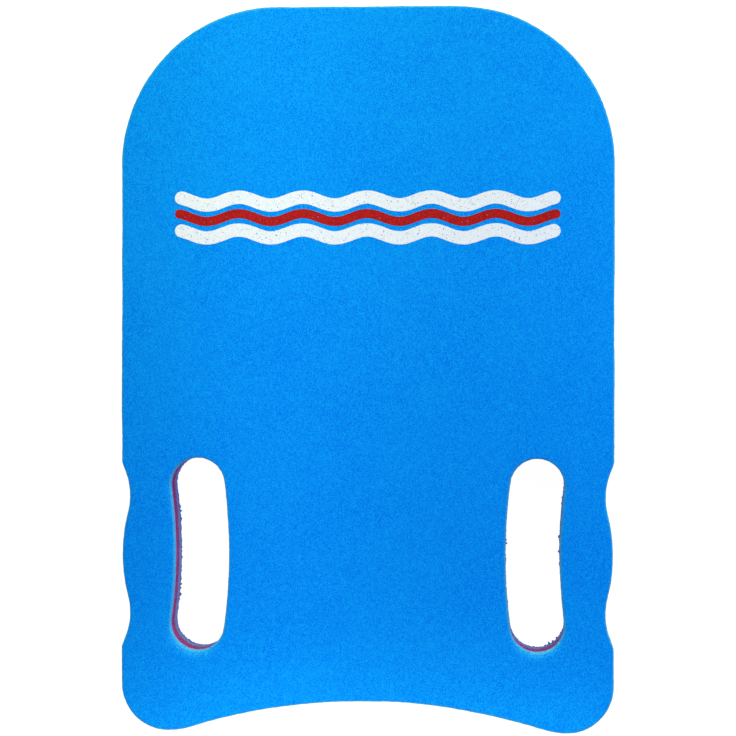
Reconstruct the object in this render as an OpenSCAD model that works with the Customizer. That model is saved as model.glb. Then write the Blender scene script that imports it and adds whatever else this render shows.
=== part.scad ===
// Kickboard float: three closed-cell foam sheets bonded face to face, die-cut as one
// stack with two hand slots, finger waves on both grips and a hollowed tail, and
// screen-printed on the front face with a plain wave motif.
//
// Frame: millimetres. The board lies flat on its back face at z = 0. The origin is the
// middle of the back face, +Y points to the rounded nose, +Z out of the printed face.

/* [Board outline] */
// Width across the straight sides
board_w = 300; // [290:1:320]
// Length from the nose to the tail lobes
board_l = 441.5; // [430:0.5:470]
// Radius of the two nose corners
nose_r = 95.5; // [80:0.5:110]
// Radius of the outer corner of each tail lobe
lobe_outer_r = 28.5; // [24:0.5:32]
// Radius that blends each tail lobe into the hollow between them
lobe_inner_r = 46; // [36:1:50]
// Depth of the hollow between the tail lobes
tail_depth = 18.6; // [14:0.2:22]

/* [Foam stack] */
// Thickness of the front and back sheets
face_t = 10; // [8:0.5:12]
// Thickness of the core sheet
core_t = 17.4; // [12:0.2:20]
// Thickness of the bond film on each side of the core
bond_t = 0.3; // [0.2:0.05:0.5]

/* [Hand slots] */
// Distance from the centre line of the board to the middle of a slot
slot_x = 101; // [98:0.2:104]
// Distance of the slots and finger waves below the middle of the board
slot_drop = 113.2; // [110:0.2:118]
// Length of a slot along the board
slot_l = 118.6; // [110:0.2:122]
// Width of a slot
slot_w = 33.7; // [28:0.1:36]
// Radius of the arc that a slot's centre line follows
slot_bend_r = 328; // [300:2:500]

/* [Finger waves] */
// Depth of each finger notch, measured in from the straight side
notch_depth = 5; // [4.4:0.1:6]
// Radius of the bottom of each notch
notch_r = 42; // [38:1:44]
// Distance between the bottoms of the two notches on one side
notch_pitch = 70.6; // [66:0.2:76]
// How far the crest between the notches stays in from the straight side
crest_drop = 0.6; // [0.4:0.1:1.5]
// Radius of the edge where a notch leaves the straight side
notch_edge_r = 6; // [4:0.5:7]
// Angle of a notch's outer flank to the straight side
flank_angle = 20.5; // [18:0.5:22]

/* [Print] */
// Length of the printed waves
print_l = 235; // [200:1:240]
// Distance of the print above the middle of the board
print_rise = 92.5; // [80:0.5:110]
// Width of the two white wave lines
white_w = 8; // [6:0.2:8.4]
// Width of the red wave line between them
red_w = 5.6; // [3:0.2:5.8]
// Distance between the middles of neighbouring wave lines
line_pitch = 10; // [9.6:0.2:13]
// Height of a wave line from its middle to a crest
wave_amp = 2.4; // [1:0.1:2.6]
// Number of whole waves in a line
wave_count = 6; // [4:1:7]
// Thickness of the dried ink
ink_t = 0.12; // [0.08:0.02:0.2]

/* [Hidden] */
$fn = 180;

blue = [0.03, 0.57, 0.95];
crimson = [0.62, 0.09, 0.26];
lilac = [0.62, 0.62, 0.86];
ink_white = [0.93, 0.94, 0.97];
ink_red = [0.75, 0.09, 0.08];

half_w = board_w / 2;
half_l = board_l / 2;
// How far a cutting shape runs past the edge it cuts
overrun = 10;
// How much two arcs that would only graze each other overlap instead
graze = 0.004;

// Heights of the stack's faces, from the back face up
back_bond_z = face_t;
core_z = back_bond_z + bond_t;
front_bond_z = core_z + core_t;
front_z = front_bond_z + bond_t;
board_t = front_z + face_t;

// Tail: the two lobe arcs share a lowest point, and the inner one is tangent to the hollow
lobe_x = half_w - lobe_outer_r;
tail_sum_r = (lobe_x * lobe_x + tail_depth * tail_depth) / (2 * tail_depth);
tail_r = tail_sum_r - lobe_inner_r;
tail_centre = [0, tail_depth - half_l - tail_r];
lobe_inner_centre = [lobe_x, lobe_inner_r - half_l];
tail_tangent = tail_centre + (lobe_inner_centre - tail_centre) * tail_r / tail_sum_r;

// Finger waves, about the middle of the grip: notch bottom, crest and flank
notch_centre = [half_w - notch_depth + notch_r, notch_pitch / 2];
crest_rise = notch_depth - crest_drop;
crest_sum_r = ((notch_pitch / 2) ^ 2 + crest_rise ^ 2) / (2 * crest_rise);
crest_r = crest_sum_r - notch_r;
crest_centre = [half_w - crest_drop - crest_r, 0];
crest_tangent = crest_centre + (notch_centre - crest_centre) * crest_r / crest_sum_r;
flank_normal = [cos(flank_angle), sin(flank_angle)];
flank_l = (notch_depth - (notch_r + notch_edge_r) * (1 - cos(flank_angle))) / sin(flank_angle);
flank_start = notch_centre + notch_r * [-flank_normal[0], flank_normal[1]];
flank_end = flank_start + flank_l * [sin(flank_angle), cos(flank_angle)];
notch_edge_centre = flank_end - notch_edge_r * [flank_normal[0], -flank_normal[1]];

// Hand slots: the slot's two end circles sit on its centre-line arc
slot_end_y = (slot_l - slot_w) / 2;
slot_end_angle = asin(slot_end_y / slot_bend_r);
slot_reach = slot_bend_r + slot_w;

// Copies the children to both sides of the board
module both_sides() {
    children();
    mirror([1, 0]) children();
}

// Copies the children above and below the middle of the grip
module both_ends() {
    children();
    mirror([0, 1]) children();
}

// The board's blank: straight sides, round nose corners and square-cut tail lobes
module blank() {
    translate([-half_w, lobe_outer_r - half_l])
        square([board_w, board_l - lobe_outer_r - nose_r]);
    translate([nose_r - half_w, 0])
        square([board_w - 2 * nose_r, half_l]);
    translate([-lobe_x, -half_l])
        square([2 * lobe_x, half_l]);
    both_sides() {
        translate([half_w - nose_r, half_l - nose_r]) circle(nose_r);
        translate([lobe_x, lobe_outer_r - half_l]) circle(lobe_outer_r);
    }
}

// What the hollow tail takes away, with the inner round of both lobes
module tail_hollow() {
    translate(tail_centre) circle(tail_r + graze);
    both_sides()
        difference() {
            polygon([
                tail_tangent,
                [lobe_x, -half_l],
                [lobe_x, -half_l - overrun],
                [tail_tangent[0], -half_l - overrun]
            ]);
            translate(lobe_inner_centre) circle(lobe_inner_r);
        }
}

// What the finger waves take away from one side, about the middle of the grip
module finger_waves() {
    difference() {
        polygon([
            crest_tangent,
            notch_centre,
            [notch_centre[0], -notch_centre[1]],
            [crest_tangent[0], -crest_tangent[1]]
        ]);
        translate(crest_centre) circle(crest_r);
    }
    both_ends() {
        translate(notch_centre) circle(notch_r + graze);
        difference() {
            polygon([
                notch_centre,
                flank_start,
                flank_end,
                [half_w, notch_edge_centre[1]],
                [notch_centre[0], notch_edge_centre[1]]
            ]);
            translate(notch_edge_centre) circle(notch_edge_r);
        }
    }
}

// One hand slot, bent outwards at both ends, about the middle of the grip
module hand_slot() {
    translate([slot_x + slot_bend_r, 0]) {
        intersection() {
            difference() {
                circle(slot_bend_r + slot_w / 2);
                circle(slot_bend_r - slot_w / 2);
            }
            polygon([
                [0, 0],
                slot_reach * [-1, tan(slot_end_angle)],
                slot_reach * [-1, -tan(slot_end_angle)]
            ]);
        }
        for (turn = [-1, 1])
            rotate(turn * slot_end_angle)
                translate([-slot_bend_r, 0])
                    circle(slot_w / 2 + graze);
    }
}

// The outline that one die cuts through the whole stack
module board_outline() {
    difference() {
        blank();
        tail_hollow();
        both_sides()
            translate([0, -slot_drop]) {
                finger_waves();
                hand_slot();
            }
    }
}

// One layer of the stack, from height z up
module layer(z, thickness) {
    translate([0, 0, z])
        linear_extrude(thickness)
            board_outline();
}

// Offset of a wave line's middle at distance x along it, and its slope there
wave_turn = 360 * wave_count / print_l;
function wave_y(x) = wave_amp * cos(wave_turn * x);
function wave_slope(x) = -wave_amp * sin(wave_turn * x) * wave_turn * PI / 180;

// Point beside a wave line's middle at distance x along it, reach away to the left
function beside_wave(x, reach) =
    let (angle = atan(wave_slope(x)))
    [x - reach * sin(angle), wave_y(x) + reach * cos(angle)];

// Round end of a wave line at distance x, half a turn clockwise from angle start
cap_steps = 12;
function wave_cap(x, width, start) = [
    for (i = [1 : cap_steps - 1])
        let (angle = start + atan(wave_slope(x)) - 180 * i / cap_steps)
        [x, wave_y(x)] + width / 2 * [cos(angle), sin(angle)]
];

// Outline of a wave line: its upper edge, right end, lower edge and left end
wave_steps = 16 * wave_count;
function wave_outline(width) =
    let (end_x = (print_l - width) / 2)
    concat(
        [for (i = [0 : wave_steps]) beside_wave(end_x * (2 * i / wave_steps - 1), width / 2)],
        wave_cap(end_x, width, 90),
        [for (i = [0 : wave_steps]) beside_wave(end_x * (1 - 2 * i / wave_steps), -width / 2)],
        wave_cap(-end_x, width, -90)
    );

// One printed wave line, its middle at rise above the middle of the print
module wave_line(width, rise) {
    translate([0, print_rise + rise, board_t])
        linear_extrude(ink_t)
            polygon(wave_outline(width));
}

module back_sheet() {
    color(blue) layer(0, face_t);
}

module back_bond() {
    color(lilac) layer(back_bond_z, bond_t);
}

module core_sheet() {
    color(crimson) layer(core_z, core_t);
}

module front_bond() {
    color(lilac) layer(front_bond_z, bond_t);
}

module front_sheet() {
    color(blue) layer(front_z, face_t);
}

module print_white() {
    color(ink_white)
        for (rise = [-line_pitch, line_pitch]) wave_line(white_w, rise);
}

module print_red() {
    color(ink_red) wave_line(red_w, 0);
}

back_sheet();
back_bond();
core_sheet();
front_bond();
front_sheet();
print_white();
print_red();
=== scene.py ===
import math
from dataclasses import dataclass
from typing import NamedTuple

import bpy
import numpy as np
from mathutils import Matrix, Vector
from mathutils.geometry import delaunay_2d_cdt
from mathutils.kdtree import KDTree


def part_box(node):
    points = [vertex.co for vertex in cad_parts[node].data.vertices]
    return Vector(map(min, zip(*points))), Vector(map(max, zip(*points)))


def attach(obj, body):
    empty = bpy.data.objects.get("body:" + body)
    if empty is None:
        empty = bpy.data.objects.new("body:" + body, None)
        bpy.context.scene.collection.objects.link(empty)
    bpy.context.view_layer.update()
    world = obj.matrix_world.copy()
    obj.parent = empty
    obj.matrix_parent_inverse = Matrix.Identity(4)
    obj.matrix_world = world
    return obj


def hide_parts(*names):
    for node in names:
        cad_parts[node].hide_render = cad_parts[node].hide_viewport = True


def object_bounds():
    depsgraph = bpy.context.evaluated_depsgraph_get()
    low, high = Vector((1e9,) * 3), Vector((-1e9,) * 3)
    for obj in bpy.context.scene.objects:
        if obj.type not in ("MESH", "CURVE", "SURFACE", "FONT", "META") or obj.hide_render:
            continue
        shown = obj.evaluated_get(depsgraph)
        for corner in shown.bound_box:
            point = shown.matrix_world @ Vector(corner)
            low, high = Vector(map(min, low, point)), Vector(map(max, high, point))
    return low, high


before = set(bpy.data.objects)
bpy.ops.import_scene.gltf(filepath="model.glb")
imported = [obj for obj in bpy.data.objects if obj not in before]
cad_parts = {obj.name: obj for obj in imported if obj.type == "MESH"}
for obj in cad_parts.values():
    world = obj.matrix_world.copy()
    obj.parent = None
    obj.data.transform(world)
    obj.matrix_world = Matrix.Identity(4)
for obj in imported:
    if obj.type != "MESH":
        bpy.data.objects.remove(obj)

# Kickboard float. Each packed foam sheet, bond film and ink film is replaced by a finished
# mesh of the same outline. Lengths are in metres, and MM turns millimetres into metres;
# only the patterns in the materials are measured in millimetres.

MM = 0.001
CAD_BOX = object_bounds()

# Distance between mesh points
EDGE_STEP = 1.0 * MM        # along the board's outer edge
SLOT_STEP = 0.4 * MM        # along the edge of a hand slot
WALL_STEP = 0.9 * MM        # up a cut wall
FACE_STEP = 3.5 * MM        # over the face of a sheet
INK_STEP = 0.5 * MM         # along the edge of a printed line
INK_FACE_STEP = 2.5 * MM    # over a printed line
CURVE_STEPS = 24            # points worked out between two corners of a CAD outline

# How far each layer's cut wall stays inside the CAD outline; a wall with a minus stands out
FRONT_SETBACK = -0.20 * MM
BOND_SETBACK = 0.15 * MM
CORE_SETBACK = 0.20 * MM
BACK_SETBACK = -0.15 * MM
WALL_BULGE = 0.15 * MM      # how far a foam sheet's wall swells out between its two faces

# Width and height of each rolled edge
FRONT_ROLL = (1.2 * MM, 1.4 * MM)   # where the die enters the board
BACK_ROLL = (0.7 * MM, 0.9 * MM)    # where the die leaves it
BOND_PINCH = (0.35 * MM, 0.5 * MM)  # where a sheet meets a bond film
BOND_EDGE = (0.1 * MM, 0.1 * MM)    # on the bond film itself
ROLL_ROWS = 6                       # rows of faces round a rolled edge
RIM = (1.0 * MM, 2.4 * MM, 4.2 * MM)    # how far in from a rolled edge the next rings lie

# Which way, and how strongly, the die dragged the front edge over. These point toward the lights,
# and the same share also lays the painted highlight on the edges that face them and the painted
# shade on the others
OUTER_DRAG = np.array([0.0, 0.2])
LEFT_SLOT_DRAG = np.array([0.3, 1.0])
RIGHT_SLOT_DRAG = np.array([0.0, 1.0])
DRAG_ROLL = 1.2 * MM        # how much wider the roll is where the die dragged it fully
DRAG_SLOPE = (4.0 * MM, 0.55 * MM)  # width and drop of the slope behind it

# How far from a bond film the heat bond tints each sheet's cut wall
FRONT_TINT = 4.0 * MM
CORE_TINT = 2.4 * MM
BACK_TINT = 5.0 * MM
FILM_TINT = 0.1 * MM

# Uneven shapes: the height, size and seed of each noise that adds up to them. A piece's own
# seed is added to those of its edges and walls.
FACE_WAVES = ((0.14 * MM, 70 * MM, 11), (0.03 * MM, 14 * MM, 12))
INK_EDGE_WAVES = ((0.09 * MM, 0.9 * MM, 0), (0.05 * MM, 3 * MM, 0))
TORN_CELLS = ((0.10 * MM, 1.3 * MM, 0), (0.08 * MM, 0.7 * MM, 1))
DIE_MARKS = ((0.09 * MM, 1.6 * MM, 2), (0.05 * MM, 0.8 * MM, 3), (0.22 * MM, 22 * MM, 4))
UPRIGHT = (1, 1, 0.12)      # squeezes heights, which makes a noise run up the wall
PLAN_ONLY = (1, 1, 0)       # makes a noise the same at every height

# Shreds and teeth on a sheet's lower edge: the length, size and seed of each
SHRED = (2.2 * MM, 1.2 * MM, 50)
TOOTH = (0.35 * MM, 0.9 * MM, 51)
SHRED_PATCH = (13 * MM, 92)     # size and seed of the patches that have shreds
HANGING_HEIGHT = 2.6 * MM       # how far up the wall shreds and teeth reach

# Pinholes in the ink
WHITE_SPACING = 3.6 * MM
RED_SPACING = 3.4 * MM
PINHOLE_SCATTER = 0.3       # how far a hole strays from an even spread, in spacings
PINHOLE_RADII = (0.11 * MM, 0.4 * MM)   # least and greatest
PINHOLE_SPREAD = (1.6, 0.055 * MM)      # shape and scale of the radii's gamma distribution
PINHOLE_WOBBLE = (0.7, 1.3)     # least and greatest reach of a hole's corners, in radii
PINHOLE_CORNERS = 7
INK_SINK = 0.05 * MM        # how far the ink's underside lies in the foam


# ---------------------------------------------------------------- noise

# Large odd numbers that scramble a cell's place and seed, and the range they are kept in
WORD = 0xFFFFFFFF
SCRAMBLE = np.array([374761393, 668265263, 974634777])
SEED_SCRAMBLE = 1274126177
LAST_SCRAMBLE = 1103515245


def lattice(cell, seed):
    """A repeatable value from -1 to 1 for each whole-number cell (rows of three)."""
    mixed = (cell @ SCRAMBLE + seed * SEED_SCRAMBLE) & WORD
    mixed = ((mixed ^ (mixed >> 13)) * LAST_SCRAMBLE) & WORD
    mixed = mixed ^ (mixed >> 16)
    return mixed / (WORD // 2) - 1


def noise(points, size, seed):
    """Smooth noise from -1 to 1 at each point (rows of three), with bumps of the given size."""
    scaled = points / size
    cell = np.floor(scaled).astype(np.int64)
    part = scaled - cell
    part = part * part * (3 - 2 * part)
    total = np.zeros(len(points))
    for corner in np.ndindex(2, 2, 2):
        corner = np.array(corner)
        share = np.prod(np.where(corner == 1, part, 1 - part), axis=1)
        total += share * lattice(cell + corner, seed)
    return total


def waves(points, kinds, seed=0):
    """The sum of several noises at each point, each with its height, size and seed."""
    return sum(height * noise(points, size, seed + own_seed) for height, size, own_seed in kinds)


def peaks(points, size, seed, steepness, level):
    """From 0 to 1: only the tops of a noise, where steepness times the noise is over the level."""
    return np.clip(steepness * noise(points, size, seed) - level, 0, 1)


def at_height(xy, z=0.0):
    """Plan points as rows of three, all at height z."""
    return np.column_stack([xy, np.full(len(xy), z)])


def unevenness(xy):
    """How far the front face stands above or below flat at each plan point."""
    return waves(at_height(xy), FACE_WAVES)


# ---------------------------------------------------------------- outlines

FLAT = 0.001 * MM           # how far from level the corners of a flat face may lie
PLACE_DIGITS = 4            # digits of a millimetre that tell two CAD corners apart
ROW_PITCH = 0.866           # distance between rows of evenly spread points, in steps
JITTER = 0.12               # how far a spread point strays from its grid, in steps
CLEARANCE = 0.6             # how far it stays from an outline, in steps
MERGE_DISTANCE = 1e-5       # millimetres within which two points of a fill are one


def boundary_loops(node):
    """Closed loops of plan points round the top of a CAD node, with the material on the left."""
    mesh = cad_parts[node].data
    mesh.calc_loop_triangles()
    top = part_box(node)[1].z
    place = [
        (round(v.co.x / MM, PLACE_DIGITS), round(v.co.y / MM, PLACE_DIGITS)) for v in mesh.vertices
    ]
    on_top = [abs(v.co.z - top) < FLAT for v in mesh.vertices]
    sides = set()
    for triangle in mesh.loop_triangles:
        if all(on_top[v] for v in triangle.vertices):
            a, b, c = (place[v] for v in triangle.vertices)
            sides |= {(a, b), (b, c), (c, a)}
    following = {a: b for a, b in sides if (b, a) not in sides}
    loops = []
    while following:
        loop, here = [], min(following)
        while here in following:
            loop.append(here)
            here = following.pop(here)
        loops.append(np.array(loop) * MM)
    return loops


def split_straights(corners, longest=20 * MM, step=5 * MM):
    """Adds corners along straight sides, so that the curve drawn through them stays straight."""
    result = []
    for a, b in zip(corners, np.roll(corners, -1, axis=0)):
        length = np.linalg.norm(b - a)
        pieces = round(length / step) if length > longest else 1
        result += [a + (b - a) * k / pieces for k in range(pieces)]
    return np.array(result)


def smooth_loop(corners, step):
    """A smooth closed curve through the corners, as evenly spaced points."""
    corners = split_straights(corners)
    after = np.roll(corners, -1, axis=0)
    length = np.linalg.norm(after - corners, axis=1)[:, None]
    pull = (after - corners) / length ** 2
    tangent = pull + np.roll(pull, 1, axis=0)
    tangent /= np.linalg.norm(tangent, axis=1)[:, None]
    fine = []
    for t in np.linspace(0, 1, CURVE_STEPS, endpoint=False):
        fine.append(
            corners * (2 * t ** 3 - 3 * t ** 2 + 1)
            + after * (3 * t ** 2 - 2 * t ** 3)
            + tangent * length * (t ** 3 - 2 * t ** 2 + t)
            + np.roll(tangent, -1, axis=0) * length * (t ** 3 - t ** 2)
        )
    curve = np.stack(fine, axis=1).reshape(-1, 2)
    curve = np.vstack([curve, curve[:1]])
    run = np.concatenate([[0], np.cumsum(np.linalg.norm(np.diff(curve, axis=0), axis=1))])
    even = np.linspace(0, run[-1], round(run[-1] / step), endpoint=False)
    return np.column_stack([np.interp(even, run, curve[:, k]) for k in (0, 1)])


def outward(loop):
    """Unit vectors at each point of a loop that point away from the material."""
    along = np.roll(loop, -1, axis=0) - np.roll(loop, 1, axis=0)
    along /= np.linalg.norm(along, axis=1)[:, None]
    return np.column_stack([along[:, 1], -along[:, 0]])


def inside(points, loops):
    """Which plan points lie in the material that the loops bound."""
    result = np.zeros(len(points), bool)
    x, y = points.T
    for loop in loops:
        for (ax, ay), (bx, by) in zip(loop, np.roll(loop, -1, axis=0)):
            if ay != by:
                result ^= ((ay > y) != (by > y)) & (x < (bx - ax) * (y - ay) / (by - ay) + ax)
    return result


def grid_points(loops, step, seed):
    """Points spread over the material inside the loops, clear of the loops themselves."""
    corners = np.vstack(loops)
    low, high = corners.min(0), corners.max(0)
    columns, rows = np.meshgrid(
        np.arange(low[0], high[0], step), np.arange(low[1], high[1], step * ROW_PITCH)
    )
    columns[1::2] += step / 2
    points = np.column_stack([columns.ravel(), rows.ravel()])
    points += np.random.default_rng(seed).uniform(-JITTER, JITTER, points.shape) * step
    # Coarse loops are enough here, because what lies near the loops is dropped below
    coarse = [loop[::4] for loop in loops]
    points = points[inside(points, coarse)]
    tree = KDTree(len(corners))
    for index, corner in enumerate(corners):
        tree.insert((*corner, 0), index)
    tree.balance()
    clear = [tree.find((*point, 0))[2] > CLEARANCE * step for point in points]
    return points[clear]


def fill(loops, extra):
    """Triangles that fill the material inside the loops, numbered by loop points then extra."""
    points = np.vstack(loops + [extra])
    borders, base = [], 0
    for loop in loops:
        count = len(loop)
        borders += [(base + k, base + (k + 1) % count) for k in range(count)]
        base += count
    corners = [Vector(point) for point in points / MM]
    _, _, faces, origins, _, _ = delaunay_2d_cdt(corners, borders, [], 0, MERGE_DISTANCE)
    triangles = np.array([[origins[corner][0] for corner in face] for face in faces])
    kept = inside(points[triangles].mean(axis=1), loops)
    return triangles[kept]


def board_loops():
    """The board's outer edge, then its hand slots, as evenly spaced points."""
    outer, *slots = sorted(boundary_loops("front_sheet"), key=lambda loop: -np.ptp(loop[:, 0]))
    return [smooth_loop(outer, EDGE_STEP)] + [smooth_loop(slot, SLOT_STEP) for slot in slots]


def slot_drag(loop):
    """Which way the die dragged the front edge of a hand slot."""
    return LEFT_SLOT_DRAG if loop[:, 0].max() < 0 else RIGHT_SLOT_DRAG


BOARD_LOOPS = board_loops()
BOARD_NORMALS = [outward(loop) for loop in BOARD_LOOPS]
BOARD_DRAGS = [OUTER_DRAG] + [slot_drag(loop) for loop in BOARD_LOOPS[1:]]
# Heights of the middles of the two bond films
BOND_HEIGHTS = [
    (low.z + high.z) / 2 for low, high in (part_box("back_bond"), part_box("front_bond"))
]


# ---------------------------------------------------------------- foam sheets

def add_piece(name, node, vertices, faces, material, slot, smooth=True, **attributes):
    """Makes one piece that stands for a CAD node. slot is the record's material slot; it is not
    used.
    """
    mesh = bpy.data.meshes.new(name)
    mesh.from_pydata(vertices.tolist(), [], faces)
    if smooth:
        mesh.shade_smooth()
    for key, values in attributes.items():
        attribute = mesh.attributes.new(key, "FLOAT", "POINT")
        attribute.data.foreach_set("value", values.astype(np.float32))
    mesh.materials.append(material)
    piece = bpy.data.objects.new(name, mesh)
    bpy.context.scene.collection.objects.link(piece)
    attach(piece, "root")
    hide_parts(node)


class Row(NamedTuple):
    """A row of points round the outline, which becomes one ring on each loop."""

    inset: float
    z: float
    cut: float      # 0 on a face, 1 on the cut wall, and in between round a rolled edge


def roll_rows(roll, setback, face_z, inward):
    """Rows round one rolled edge, from the face to the wall."""
    width, height = roll
    rows = []
    for k in range(ROLL_ROWS + 1):
        turn = math.pi / 2 * k / ROLL_ROWS
        rows.append(Row(
            inset=setback + width * (1 - math.sin(turn)),
            z=face_z + inward * height * (1 - math.cos(turn)),
            cut=math.sin(turn),
        ))
    return rows


def wall_relief(points, seed):
    """How far the torn cells and die marks push a cut wall out at each point."""
    return waves(points, TORN_CELLS, seed) + waves(points * UPRIGHT, DIE_MARKS, seed)


def shreds(points, z_low):
    """What the die leaves hanging on a sheet's lower edge: small teeth, and a few shreds."""
    near_edge = np.clip(1 - (points[:, 2] - z_low) / HANGING_HEIGHT, 0, 1)
    shred_length, *shred = SHRED
    tooth_length, *tooth = TOOTH
    patch = peaks(points * PLAN_ONLY, *SHRED_PATCH, steepness=2.0, level=0.15)
    tufts = peaks(points, *shred, steepness=1.5, level=0.25)
    teeth = peaks(points, *tooth, steepness=3, level=0.3)
    return near_edge * (shred_length * patch * tufts + tooth_length * teeth)


class SheetMesh:
    """Points of a sheet, how far each one is cut and dragged, and the faces between them."""

    def __init__(self):
        self.points, self.cuts, self.drags, self.faces = [], [], [], []
        self.count = 0

    def add_points(self, points, cut, dragged):
        """Adds points, all cut the same, and gives back their numbers."""
        self.points.append(points)
        self.cuts.append(np.full(len(points), cut))
        self.drags.append(dragged)
        self.count += len(points)
        return np.arange(self.count - len(points), self.count)

    def join(self, rings):
        """Adds the faces between rings of point numbers, each joined to the next one down."""
        for above, below in zip(rings, rings[1:]):
            corners = [above, below, np.roll(below, -1), np.roll(above, -1)]
            self.faces += np.column_stack(corners).tolist()


@dataclass
class Sheet:
    """One foam sheet or bond film, and what the die and the heat bond made of its edges."""

    node: str
    low_roll: tuple
    high_roll: tuple
    setback: float
    seed: int
    bulge: float = 0.0
    tint: float = FILM_TINT
    relief: float = 1.0         # strength of the torn cells and die marks
    shredded: bool = False      # shreds and teeth hang on the lower edge
    front: bool = False         # the upper face is the board's front, uneven and dragged
    back: bool = False          # the lower face is the board's back

    def __post_init__(self):
        self.low, self.high = (corner.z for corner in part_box(self.node))

    def rows(self):
        """Rows from the upper face down the cut wall to the lower face."""
        upper = roll_rows(self.high_roll, self.setback, self.high, -1)
        lower = roll_rows(self.low_roll, self.setback, self.low, 1)
        top, bottom = upper[-1].z, lower[-1].z
        count = max(2, round((top - bottom) / WALL_STEP))
        wall = []
        for k in range(1, count):
            z = top + (bottom - top) * k / count
            swell = math.sin(math.pi * (z - self.low) / (self.high - self.low))
            wall.append(Row(self.setback - self.bulge * swell, z, 1.0))
        rim_up = [Row(upper[0].inset + reach, self.high, 0.0) for reach in RIM[::-1]]
        rim_down = [Row(lower[0].inset + RIM[0], self.low, 0.0)]
        return rim_up + upper + wall + lower[::-1] + rim_down

    def ring(self, loop, normal, dragged, row):
        """One row's points round one loop, and how far the die dragged each of them."""
        plan = loop - normal * (row.inset + DRAG_ROLL * dragged * (1 - row.cut))[:, None]
        points = at_height(plan, row.z)
        push = self.relief * row.cut * wall_relief(points, self.seed)
        if self.shredded:
            push += row.cut * shreds(points, self.low)
        points[:, :2] += normal * push[:, None]
        slope_width, slope_drop = DRAG_SLOPE
        behind = min(1, max(0, row.inset - self.setback - self.high_roll[0]) / slope_width)
        fading = dragged * (1 - behind) ** 2
        if self.front:
            rise = unevenness(plan) - slope_drop * fading
            points[:, 2] += rise * (row.z - self.low) / (self.high - self.low)
        return points, fading

    def close_face(self, mesh, rings, z, up, shown):
        """Fills the face inside the rings, with points spread over it if it is shown."""
        plans, numbers = zip(*rings)
        extra = grid_points(plans, FACE_STEP, self.seed) if shown else np.zeros((0, 2))
        points = at_height(extra, z)
        if up and self.front:
            points[:, 2] += unevenness(extra)
        numbers = np.concatenate([*numbers, mesh.add_points(points, 0.0, np.zeros(len(extra)))])
        triangles = numbers[fill([*plans], extra)]
        mesh.faces += (triangles if up else triangles[:, ::-1]).tolist()

    def build(self, name, material, slot):
        """Makes the closed piece: rings round every loop, then a fill over each face."""
        mesh = SheetMesh()
        top_rings, bottom_rings = [], []
        for loop, normal, drag in zip(BOARD_LOOPS, BOARD_NORMALS, BOARD_DRAGS):
            dragged = np.clip(normal @ drag, 0, 1) if self.front else np.zeros(len(loop))
            rings = []
            for row in self.rows():
                points, fading = self.ring(loop, normal, dragged, row)
                rings.append((points[:, :2], mesh.add_points(points, row.cut, fading)))
            mesh.join([numbers for _, numbers in rings])
            top_rings.append(rings[0])
            bottom_rings.append(rings[-1])
        self.close_face(mesh, top_rings, self.high, up=True, shown=self.front)
        self.close_face(mesh, bottom_rings, self.low, up=False, shown=self.back)
        vertices = np.vstack(mesh.points)
        bond_gap = np.min([abs(vertices[:, 2] - z) for z in BOND_HEIGHTS], axis=0)
        bonded = np.clip(1 - bond_gap / self.tint, 0, 1)
        add_piece(name, self.node, vertices, mesh.faces, material, slot,
                  cut=np.concatenate(mesh.cuts), dragged=np.concatenate(mesh.drags), bonded=bonded)


# ---------------------------------------------------------------- ink films

def pinhole(centre, radius, wobble):
    """A small ragged hole as a loop with the material on its left."""
    turn = -2 * math.pi * np.arange(len(wobble)) / len(wobble)
    reach = radius * wobble
    return centre + np.column_stack([reach * np.cos(turn), reach * np.sin(turn)])


def pinholes(outline, spacing, seed):
    """Ragged holes scattered over an ink film, clear of its edge and of each other."""
    rng = np.random.default_rng(seed)
    least, most = PINHOLE_RADII
    places = grid_points([outline], spacing, seed)
    places = places + rng.uniform(-PINHOLE_SCATTER, PINHOLE_SCATTER, places.shape) * spacing
    holes = []
    for place in places:
        radius = min(least + rng.gamma(*PINHOLE_SPREAD), most)
        holes.append(pinhole(place, radius, rng.uniform(*PINHOLE_WOBBLE, PINHOLE_CORNERS)))
    return holes


def ragged_outlines(node, seed):
    """The outlines of a printed node, with the uneven edge that a screen leaves."""
    outlines = []
    for corners in boundary_loops(node):
        loop = smooth_loop(corners, INK_STEP)
        push = waves(at_height(loop), INK_EDGE_WAVES, seed)
        outlines.append(loop + outward(loop) * push[:, None])
    return outlines


def build_ink(name, node, material, slot, hole_spacing, seed):
    """A thin film on the front face, with a ragged edge and pinholes right through it."""
    low, high = (corner.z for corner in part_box(node))
    vertices, faces, base = [], [], 0
    for outline in ragged_outlines(node, seed):
        loops = [outline] + pinholes(outline, hole_spacing, seed)
        extra = grid_points(loops, INK_FACE_STEP, seed)
        plan = np.vstack(loops + [extra])
        triangles = fill(loops, extra)
        count = len(plan)
        rise = unevenness(plan)
        vertices.append(np.column_stack([plan, high + rise]))
        vertices.append(np.column_stack([plan, low + rise - INK_SINK]))
        faces += (triangles + base).tolist()
        faces += (triangles[:, ::-1] + base + count).tolist()
        start = base
        for loop in loops:
            here = np.arange(start, start + len(loop))
            following = np.roll(here, -1)
            faces += np.column_stack([here, here + count, following + count, following]).tolist()
            start += len(loop)
        base += 2 * count
    add_piece(name, node, np.vstack(vertices), faces, material, slot, smooth=False)


# ---------------------------------------------------------------- materials

# Sizes of the patterns, in millimetres
SKIN_CELL = 0.42
SKIN_GRAIN = 0.5
SKIN_MOTTLE = 4.5
SKIN_CLOUD = 45
SKIN_PORES = 0.7
CUT_CELL = 0.75
CUT_GRAIN = 0.6
CUT_STREAK = 2.2
BOND_GRAIN = 1.1
BOND_STAIN = 9
BOND_PORES = 0.5
INK_PATCH = 0.7
INK_SPECK = 1.4
INK_SPECK_CLUSTER = 2.8
INK_PORES = 0.6

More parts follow.
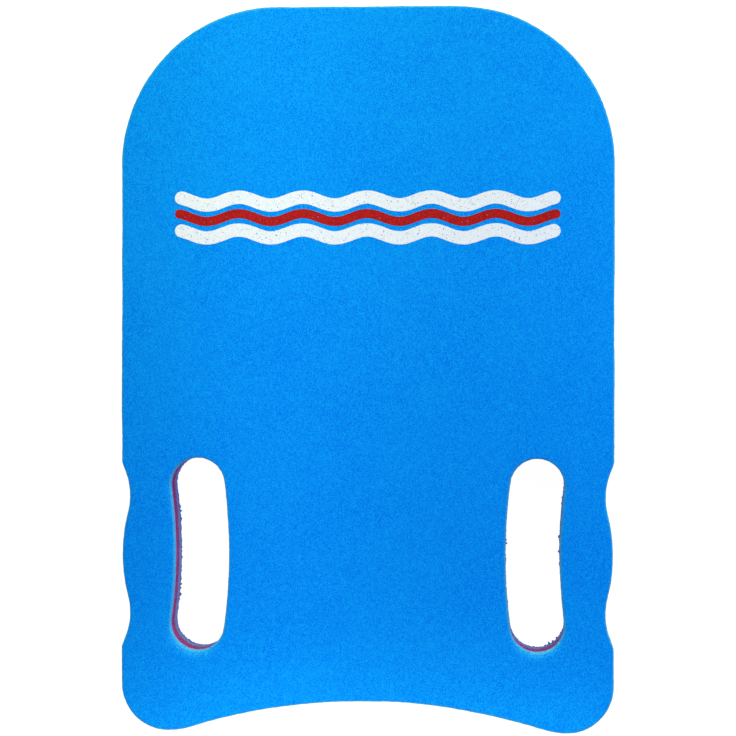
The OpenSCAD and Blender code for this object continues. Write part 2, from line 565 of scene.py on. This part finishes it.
# Depths of the bumps, in millimetres
SKIN_BUMP = 0.05
CUT_BUMP = 0.35
BOND_BUMP = 0.1
INK_BUMP = 0.02

STREAK_SQUEEZE = 0.15       # squeezes heights, which makes the streaks run up the wall


def linear(red, green, blue):
    """A colour given as it looks on screen, 0 to 255, as the linear colour that shaders use."""
    def one(value):
        value /= 255
        return value / 12.92 if value <= 0.04045 else ((value + 0.055) / 1.055) ** 2.4
    return (one(red), one(green), one(blue), 1.0)


HEAT_STAIN = linear(164, 142, 218)  # what the heat bond does to the foam beside it


class Shader:
    """A short way to write a material's nodes. Positions are the object's, in millimetres."""

    def __init__(self, name):
        self.material = bpy.data.materials.new(name)
        self.material.use_nodes = True
        self.tree = self.material.node_tree
        self.tree.nodes.clear()
        self.output = self.add("ShaderNodeOutputMaterial")
        self.place = self.scaled(1, 1, 1)

    def add(self, kind, inputs=None, **settings):
        """Adds a node, with its inputs by name or number."""
        node = self.tree.nodes.new(kind)
        for key, value in settings.items():
            setattr(node, key, value)
        for key, value in (inputs or {}).items():
            self.feed(node.inputs[key], value)
        return node

    def feed(self, socket, value):
        """Sets an input to a value, or links it where the value is another node's output."""
        if isinstance(value, bpy.types.NodeSocket):
            self.tree.links.new(value, socket)
        else:
            socket.default_value = value

    def scaled(self, x, y, z):
        """Object position in millimetres, stretched along each axis."""
        position = self.add("ShaderNodeTexCoord").outputs["Object"]
        inputs = {0: position, 1: (x / MM, y / MM, z / MM)}
        return self.add("ShaderNodeVectorMath", inputs, operation="MULTIPLY").outputs[0]

    def noise(self, size, detail=2.0, roughness=0.5, place=None):
        """Cloudy noise from 0 to 1."""
        inputs = {
            "Vector": place or self.place, "Scale": 1 / size,
            "Detail": detail, "Roughness": roughness,
        }
        return self.add("ShaderNodeTexNoise", inputs).outputs[0]

    def cells(self, size):
        """Foam cells: Color differs from cell to cell, Distance grows away from a cell's middle."""
        return self.add("ShaderNodeTexVoronoi", {"Vector": self.place, "Scale": 1 / size}).outputs

    def multiply(self, a, b):
        return self.add("ShaderNodeMath", {0: a, 1: b}, operation="MULTIPLY").outputs[0]

    def ramp(self, value, start, end, low=0.0, high=1.0):
        """low where value is at start or before, high at end or after."""
        inputs = {"Value": value, "From Min": start, "From Max": end, "To Min": low, "To Max": high}
        return self.add("ShaderNodeMapRange", inputs, interpolation_type="SMOOTHSTEP").outputs[0]

    def mix(self, share, a, b):
        """Colour a, or colour b as far as share says."""
        return self.add("ShaderNodeMix", {0: share, 6: a, 7: b}, data_type="RGBA").outputs[2]

    def attribute(self, name):
        """A value that the mesh holds at each point."""
        return self.add("ShaderNodeAttribute", attribute_name=name).outputs["Fac"]

    def bump(self, height):
        """A surface normal for a height in metres."""
        inputs = {"Height": height, "Distance": 1.0, "Strength": 1.0}
        return self.add("ShaderNodeBump", inputs).outputs[0]

    def glowing(self, shade, glow):
        """A matt grey surface that also gives off white light."""
        matt = self.add("ShaderNodeBsdfDiffuse", {"Color": (shade, shade, shade, 1)}).outputs[0]
        light = self.add("ShaderNodeEmission", {"Color": (1, 1, 1, 1), "Strength": glow}).outputs[0]
        return self.add("ShaderNodeAddShader", {0: matt, 1: light}).outputs[0]

    def finish(self, colour, roughness, specular, normal):
        """Joins up the surface and gives back the material."""
        inputs = {
            "Base Color": colour, "Roughness": roughness,
            "Specular IOR Level": specular, "Normal": normal,
        }
        surface = self.add("ShaderNodeBsdfPrincipled", inputs).outputs[0]
        self.feed(self.output.inputs["Surface"], surface)
        return self.material


def skin_colour(shader, skin, facet, grain, dragged):
    """The foam's closed skin: cell-sized facets, mottle, and a painted highlight on rolled edges
    that face the lights.
    """
    dark, middle, light, painted_highlight, _ = skin
    tone = shader.mix(shader.ramp(facet, 0.22, 0.78), dark, light)
    tone = shader.mix(shader.ramp(grain, 0.40, 0.62, 0, 0.45), tone, middle)
    tone = shader.mix(shader.ramp(shader.noise(SKIN_MOTTLE), 0.3, 0.7, 0, 0.10), tone, dark)
    tone = shader.mix(shader.ramp(shader.noise(SKIN_CLOUD), 0.35, 0.65, 0, 0.10), tone, light)
    # Painted highlight: a paler cyan mixed in over the rolled edges that face the lights
    highlight_share = shader.multiply(shader.multiply(dragged, dragged), shader.ramp(facet, 0.3, 0.8, 0.1, 0.9))
    return shader.mix(highlight_share, tone, painted_highlight)


def cut_colour(shader, cut, cell_distance):
    """The foam's cut wall: open cells, upright streaks, and a stain beside each bond film."""
    dark, middle, light = cut
    grain = shader.noise(CUT_GRAIN, 2, 0.6)
    streaks = shader.noise(CUT_STREAK, 2, 0.6, place=shader.scaled(1, 1, STREAK_SQUEEZE))
    tone = shader.mix(shader.ramp(grain, 0.35, 0.65), dark, middle)
    tone = shader.mix(shader.ramp(streaks, 0.35, 0.65, 0, 0.5), tone, dark)
    tone = shader.mix(shader.ramp(cell_distance, 0.42, 0.60, 0, 0.8), tone, light)
    stain = shader.multiply(shader.attribute("bonded"), shader.ramp(grain, 0.3, 0.6, 0.6, 1.0))
    return shader.mix(shader.ramp(stain, 0.05, 0.7, 0, 0.85), tone, HEAT_STAIN)


def foam_material(name, skin, cut):
    """Closed-cell foam.

    skin and cut each hold its dark, middle and light colours; skin also ends with a painted
    highlight colour for rolled edges that face the lights and a painted shade colour for the rest.
    """
    shader = Shader(name)
    round_roll = shader.attribute("cut")
    dragged = shader.attribute("dragged")
    facet = shader.cells(SKIN_CELL)["Color"]
    grain = shader.noise(SKIN_GRAIN, 1, 0.6)
    cell_distance = shader.cells(CUT_CELL)["Distance"]
    is_cut = shader.ramp(round_roll, 0.5, 0.95)
    skin_tone = skin_colour(shader, skin, facet, grain, dragged)
    colour = shader.mix(is_cut, skin_tone, cut_colour(shader, cut, cell_distance))
    # Painted shade: a duller grey-teal mixed in round the rolled edges that face away from the
    # lights
    painted_edge_shade = shader.multiply(shader.ramp(round_roll, 0.12, 0.5), shader.ramp(round_roll, 1.0, 0.8))
    painted_edge_shade = shader.multiply(painted_edge_shade, shader.ramp(dragged, 0.35, 0.15, 0, 0.55))
    colour = shader.mix(painted_edge_shade, colour, skin[-1])
    skin_height = shader.multiply(shader.noise(SKIN_PORES, 3, 0.6), SKIN_BUMP)
    cut_height = shader.multiply(cell_distance, CUT_BUMP)
    height = shader.add("ShaderNodeMix", {0: is_cut, 2: skin_height, 3: cut_height}).outputs[0]
    normal = shader.bump(shader.multiply(height, MM))
    roughness = shader.ramp(grain, 0.3, 0.7, 0.72, 0.9)
    return shader.finish(colour, roughness=roughness, specular=0.02, normal=normal)


def bond_material(dark, light, stained):
    """The melted skin between two sheets."""
    shader = Shader("bond_skin")
    tone = shader.mix(shader.ramp(shader.noise(BOND_GRAIN, 2, 0.6), 0.35, 0.65), dark, light)
    tone = shader.mix(shader.ramp(shader.noise(BOND_STAIN, 1), 0.4, 0.7, 0, 0.35), tone, stained)
    normal = shader.bump(shader.multiply(shader.noise(BOND_PORES), BOND_BUMP * MM))
    return shader.finish(tone, roughness=0.55, specular=0.2, normal=normal)


def ink_material(name, body, thin, speck):
    """Screen ink on foam: body colour, thinner patches, and fine specks where it missed."""
    shader = Shader(name)
    tone = shader.mix(shader.ramp(shader.cells(INK_PATCH)["Color"], 0.3, 0.9), body, thin)
    specks = shader.ramp(shader.cells(INK_SPECK)["Distance"], 0.28, 0.14)
    missed = shader.multiply(specks, shader.ramp(shader.noise(INK_SPECK_CLUSTER, 1), 0.48, 0.58))
    tone = shader.mix(shader.multiply(missed, 0.8), tone, speck)
    normal = shader.bump(shader.multiply(shader.noise(INK_PORES, 3, 0.6), INK_BUMP * MM))
    return shader.finish(tone, roughness=0.6, specular=0.12, normal=normal)


def floor_material():
    """A pale floor that stays almost white to the camera and shades only faintly."""
    shader = Shader("pale_floor")
    seen = shader.add("ShaderNodeLightPath").outputs["Is Camera Ray"]
    for_bounces = shader.glowing(shade=0.8, glow=0.80)
    for_camera = shader.glowing(shade=0.30, glow=0.95)
    mixed = shader.add("ShaderNodeMixShader", {0: seen, 1: for_bounces, 2: for_camera}).outputs[0]
    shader.feed(shader.output.inputs["Surface"], mixed)
    return shader.material


# ---------------------------------------------------------------- board

# Dark, middle and light; a skin also ends with its painted highlight colour and its painted shade
# colour, for rolled edges facing toward and away from the lights
BLUE_SKIN = (
    linear(0, 108, 238), linear(1, 141, 250), linear(12, 167, 255), linear(44, 196, 253),
    linear(66, 164, 190),
)
BLUE_CUT = (linear(36, 148, 226), linear(40, 178, 242), linear(100, 216, 252))
# A darker, greyer copy of the blue cut colours: painted shade on the back sheet's cut wall, deep in
# the slots
SHADED_BACK_CUT = (linear(58, 94, 146), linear(84, 126, 180), linear(112, 154, 212))
CRIMSON_SKIN = (
    linear(150, 30, 92), linear(176, 42, 108), linear(200, 62, 130), linear(200, 62, 130),
    linear(156, 44, 120),
)
CRIMSON_CUT = (linear(106, 24, 88), linear(156, 44, 120), linear(184, 90, 158))
# Dark, light and stained
BOND_COLOURS = (linear(128, 128, 205), linear(190, 185, 240), linear(150, 90, 180))
# Body, thin ink and specks
WHITE_INK = (linear(220, 238, 255), linear(208, 228, 244), linear(84, 92, 112))
RED_INK = (linear(171, 22, 18), linear(136, 10, 14), linear(60, 10, 22))


def build_board():
    """All pieces of the board, from the back sheet up to the ink on the front."""
    blue_foam = foam_material("blue_foam", BLUE_SKIN, BLUE_CUT)
    # The back sheet's wall gets the darker copy of the blue foam: painted shade
    shaded_back_foam = foam_material("shaded_blue_foam", BLUE_SKIN, SHADED_BACK_CUT)
    crimson_foam = foam_material("crimson_foam", CRIMSON_SKIN, CRIMSON_CUT)
    bond_skin = bond_material(*BOND_COLOURS)
    white_ink = ink_material("white_ink", *WHITE_INK)
    red_ink = ink_material("red_ink", *RED_INK)

    back = Sheet("back_sheet", BACK_ROLL, BOND_PINCH, BACK_SETBACK, seed=40,
                 bulge=WALL_BULGE, tint=BACK_TINT, shredded=True, back=True)
    back.build("back_sheet_foam", shaded_back_foam, "foam_blue")
    back_bond = Sheet("back_bond", BOND_EDGE, BOND_EDGE, BOND_SETBACK, seed=50, relief=0.7)
    back_bond.build("back_bond_skin", bond_skin, "bond")
    core = Sheet("core_sheet", BOND_PINCH, BOND_PINCH, CORE_SETBACK, seed=60,
                 bulge=WALL_BULGE, tint=CORE_TINT, relief=0.5)
    core.build("core_sheet_foam", crimson_foam, "foam_crimson")
    front_bond = Sheet("front_bond", BOND_EDGE, BOND_EDGE, BOND_SETBACK, seed=70, relief=0.7)
    front_bond.build("front_bond_skin", bond_skin, "bond")
    front = Sheet("front_sheet", BOND_PINCH, FRONT_ROLL, FRONT_SETBACK, seed=80,
                  bulge=WALL_BULGE, tint=FRONT_TINT, front=True)
    front.build("front_sheet_foam", blue_foam, "foam_blue")
    build_ink("white_ink_film", "print_white", white_ink, "ink_white", WHITE_SPACING, seed=90)
    build_ink("red_ink_film", "print_red", red_ink, "ink_red", RED_SPACING, seed=95)


# ---------------------------------------------------------------- studio

MIDDLE = (CAD_BOX[0] + CAD_BOX[1]) / 2
BACK_MIDDLE = Vector((MIDDLE.x, MIDDLE.y, CAD_BOX[0].z))
FRONT_MIDDLE = Vector((MIDDLE.x, MIDDLE.y, CAD_BOX[1].z))
FLOOR_SIZE = 12.0
FLOOR_GAP = 0.3 * MM        # how far the floor lies below the board
SKY_TINT = (0.92, 0.96, 1.76, 1)
SKY_STRENGTH = 0.27
CAMERA_PLACE = (0.095, 0.0144, 1.690)   # from FRONT_MIDDLE, as is the target
CAMERA_TARGET = (0.0007, 0.0009, 0)
CAMERA_ROLL = math.radians(0.09)
CAMERA_REACH = 20           # how far the camera sees
VIEW_WIDTH = 0.447961       # how much of the front face's plane the picture's width shows
SENSOR_WIDTH = 36           # millimetres, as Blender measures lenses


def add_floor():
    """The floor, which isn't part of the object."""
    mesh = bpy.data.meshes.new("floor")
    half = FLOOR_SIZE / 2
    corners = [(-half, -half, 0), (half, -half, 0), (half, half, 0), (-half, half, 0)]
    mesh.from_pydata(corners, [], [(0, 1, 2, 3)])
    mesh.materials.append(floor_material())
    floor = bpy.data.objects.new("floor", mesh)
    floor.location.z = CAD_BOX[0].z - FLOOR_GAP
    bpy.context.scene.collection.objects.link(floor)


def aim(thing, target, roll=0.0):
    """Turns a camera or light to look at target, with the nose's side up unless rolled."""
    back = (thing.location - target).normalized()
    right = Vector((0, 1, 0)).cross(back).normalized()
    up = back.cross(right)
    upright = Matrix((right, up, back)).transposed()
    thing.rotation_euler = (upright @ Matrix.Rotation(roll, 3, "Z")).to_euler()


def add_softbox(name, place, target, size, watts, tint):
    """A soft light; place and target are from BACK_MIDDLE."""
    light = bpy.data.lights.new(name, "AREA")
    light.shape = "RECTANGLE"
    light.size, light.size_y = size
    light.energy = watts
    light.color = tint
    softbox = bpy.data.objects.new(name, light)
    softbox.location = BACK_MIDDLE + Vector(place)
    softbox.visible_camera = False
    bpy.context.scene.collection.objects.link(softbox)
    aim(softbox, BACK_MIDDLE + Vector(target))


def add_sky():
    """Even light from all round; behind the floor the camera sees plain white."""
    world = bpy.data.worlds.new("studio")
    world.use_nodes = True
    tree = world.node_tree
    tinted = tree.nodes["Background"]
    tinted.inputs["Color"].default_value = SKY_TINT
    tinted.inputs["Strength"].default_value = SKY_STRENGTH
    plain = tree.nodes.new("ShaderNodeBackground")
    plain.inputs["Color"].default_value = (1, 1, 1, 1)
    seen = tree.nodes.new("ShaderNodeLightPath")
    mixed = tree.nodes.new("ShaderNodeMixShader")
    tree.links.new(seen.outputs["Is Camera Ray"], mixed.inputs[0])
    tree.links.new(tinted.outputs[0], mixed.inputs[1])
    tree.links.new(plain.outputs[0], mixed.inputs[2])
    tree.links.new(mixed.outputs[0], tree.nodes["World Output"].inputs["Surface"])
    bpy.context.scene.world = world


def add_camera():
    """The camera at the photograph's viewing angle."""
    target = FRONT_MIDDLE + Vector(CAMERA_TARGET)
    data = bpy.data.cameras.new("camera")
    camera = bpy.data.objects.new("camera", data)
    camera.location = FRONT_MIDDLE + Vector(CAMERA_PLACE)
    data.sensor_width = SENSOR_WIDTH
    data.lens = SENSOR_WIDTH * (camera.location - target).length / VIEW_WIDTH
    data.clip_end = CAMERA_REACH
    bpy.context.scene.collection.objects.link(camera)
    aim(camera, target, CAMERA_ROLL)
    bpy.context.scene.camera = camera


def build_studio():
    """The camera, the floor, the even light of the sky and five soft lights."""
    add_camera()
    add_floor()
    add_sky()
    add_softbox("key_light", place=(0.8, 2.0, 0.85), target=(0, 0, 0),
                size=(1.0, 0.6), watts=23.0, tint=(1.04, 1.03, 0.78))
    add_softbox("nose_light", place=(-0.15, 0.40, 0.44), target=(0, 0.05, 0),
                size=(0.9, 0.3), watts=2.05, tint=(1.30, 1.03, 0.22))
    add_softbox("right_light", place=(0.425, 0.108, 0.35), target=(0.05, 0.054, 0),
                size=(0.2, 0.5), watts=0.65, tint=(1.03, 1.02, 1.20))
    add_softbox("grip_strip", place=(-0.06, 0.092, 0.135), target=(-0.06, 0.092, 0),
                size=(0.06, 0.70), watts=0.095, tint=(1.03, 1.02, 0.95))
    add_softbox("tail_strip", place=(0.003, -0.24, 0.10), target=(0.003, -0.24, 0),
                size=(0.33, 0.06), watts=0.097, tint=(1.03, 1.02, 0.62))
    bpy.context.scene.view_settings.view_transform = "Standard"


build_board()
build_studio()
